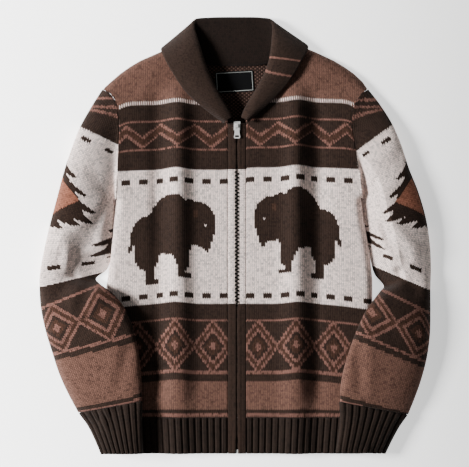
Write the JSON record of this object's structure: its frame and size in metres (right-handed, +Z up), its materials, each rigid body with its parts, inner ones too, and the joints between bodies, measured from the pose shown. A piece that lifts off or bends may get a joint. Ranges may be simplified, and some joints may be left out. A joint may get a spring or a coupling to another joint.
{
  "type": "knit jacket",
  "caption": "Zipped shawl-collar knit jacket with jacquard bands, ribbed cuffs and hem, laid flat on its back with the forearms over its sides.",
  "frame": {"origin": "centre of the jacket's footprint, on the surface it lies on", "axes": "+X to the right of the laid jacket seen from above, +Y up the jacket to the collar, +Z up from the surface"},
  "size_m": [0.6661, 0.7428, 0.0514],
  "materials": {
    "patterned_knit": "matt jacquard knit in dark brown, brown, pale pink-brown, cream and rust wool",
    "dark_rib_knit": "matt dark brown rib knit",
    "dark_plain_knit": "matt dark brown knit",
    "zip_tape": "woven dark brown tape",
    "zip_metal": "polished silver plating",
    "label_cloth": "black woven satin"
  },
  "bodies": {
    "jacket": {"back_panel": "patterned_knit", "hem_rib_back": "dark_rib_knit", "front_left": "patterned_knit", "front_right": "patterned_knit", "hem_rib_left": "dark_rib_knit", "hem_rib_right": "dark_rib_knit", "front_band_left": "dark_plain_knit", "front_band_right": "dark_plain_knit", "sleeve_left": "patterned_knit", "sleeve_right": "patterned_knit", "cuff_left": "dark_rib_knit", "cuff_right": "dark_rib_knit", "collar": "dark_plain_knit", "neck_label": "label_cloth", "zip_tape_left": "zip_tape", "zip_tape_right": "zip_tape", "zip_chain": "zip_metal", "zip_box": "zip_metal", "zip_slider": "zip_metal"},
    "zip_pull_tab": {"zip_pull": "zip_metal"}
  },
  "joints": [
    {"name": "pull_swing", "type": "hinge", "parent": "jacket", "child": "zip_pull_tab", "pos_m": [0.003, 0.1858, 0.0204], "axis": [-1, 0, 0], "range_deg": [0, 110]}
  ]
}
